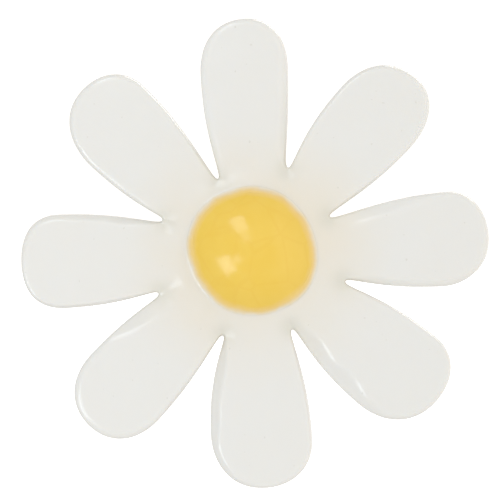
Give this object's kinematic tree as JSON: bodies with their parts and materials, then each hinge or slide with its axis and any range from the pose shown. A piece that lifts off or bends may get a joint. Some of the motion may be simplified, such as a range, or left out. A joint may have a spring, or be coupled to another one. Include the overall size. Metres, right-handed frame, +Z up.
{
  "type": "flower hair clip",
  "caption": "Hair clip with a glossy cream daisy flower, a domed yellow centre, and a sprung steel alligator clip bonded to its back.",
  "frame": {"origin": "middle of the space between the jaws where the hair lies, on the flower's axis", "axes": "+Y from the flower's face back towards the head, +Z up as the flower is worn and shown, +X along the clip from beak to finger tails"},
  "size_m": [0.0641, 0.0227, 0.0644],
  "materials": {
    "cream_resin": "glossy milky resin, slightly translucent",
    "yellow_resin": "glossy poured resin dome",
    "adhesive": "cured clear glue, cloudy",
    "plated_steel": "nickel plated pressed steel",
    "spring_steel": "plated spring wire"
  },
  "bodies": {
    "flower_body": {"petal_flower": "cream_resin", "flower_centre": "yellow_resin", "centre_adhesive": "adhesive", "mounting_adhesive": "adhesive", "flower_arm": "plated_steel", "hinge_pin": "plated_steel", "torsion_spring": "spring_steel"},
    "jaw": {"jaw_arm": "plated_steel"}
  },
  "joints": [
    {"name": "jaw_hinge", "type": "hinge", "parent": "flower_body", "child": "jaw", "pos_m": [0.009, 0, 0], "axis": [0, 0, -1], "range_deg": [0, 30], "stiffness_Nm_per_rad": 0.046, "springref_deg": -91.67, "deforming": ["torsion_spring"]}
  ]
}
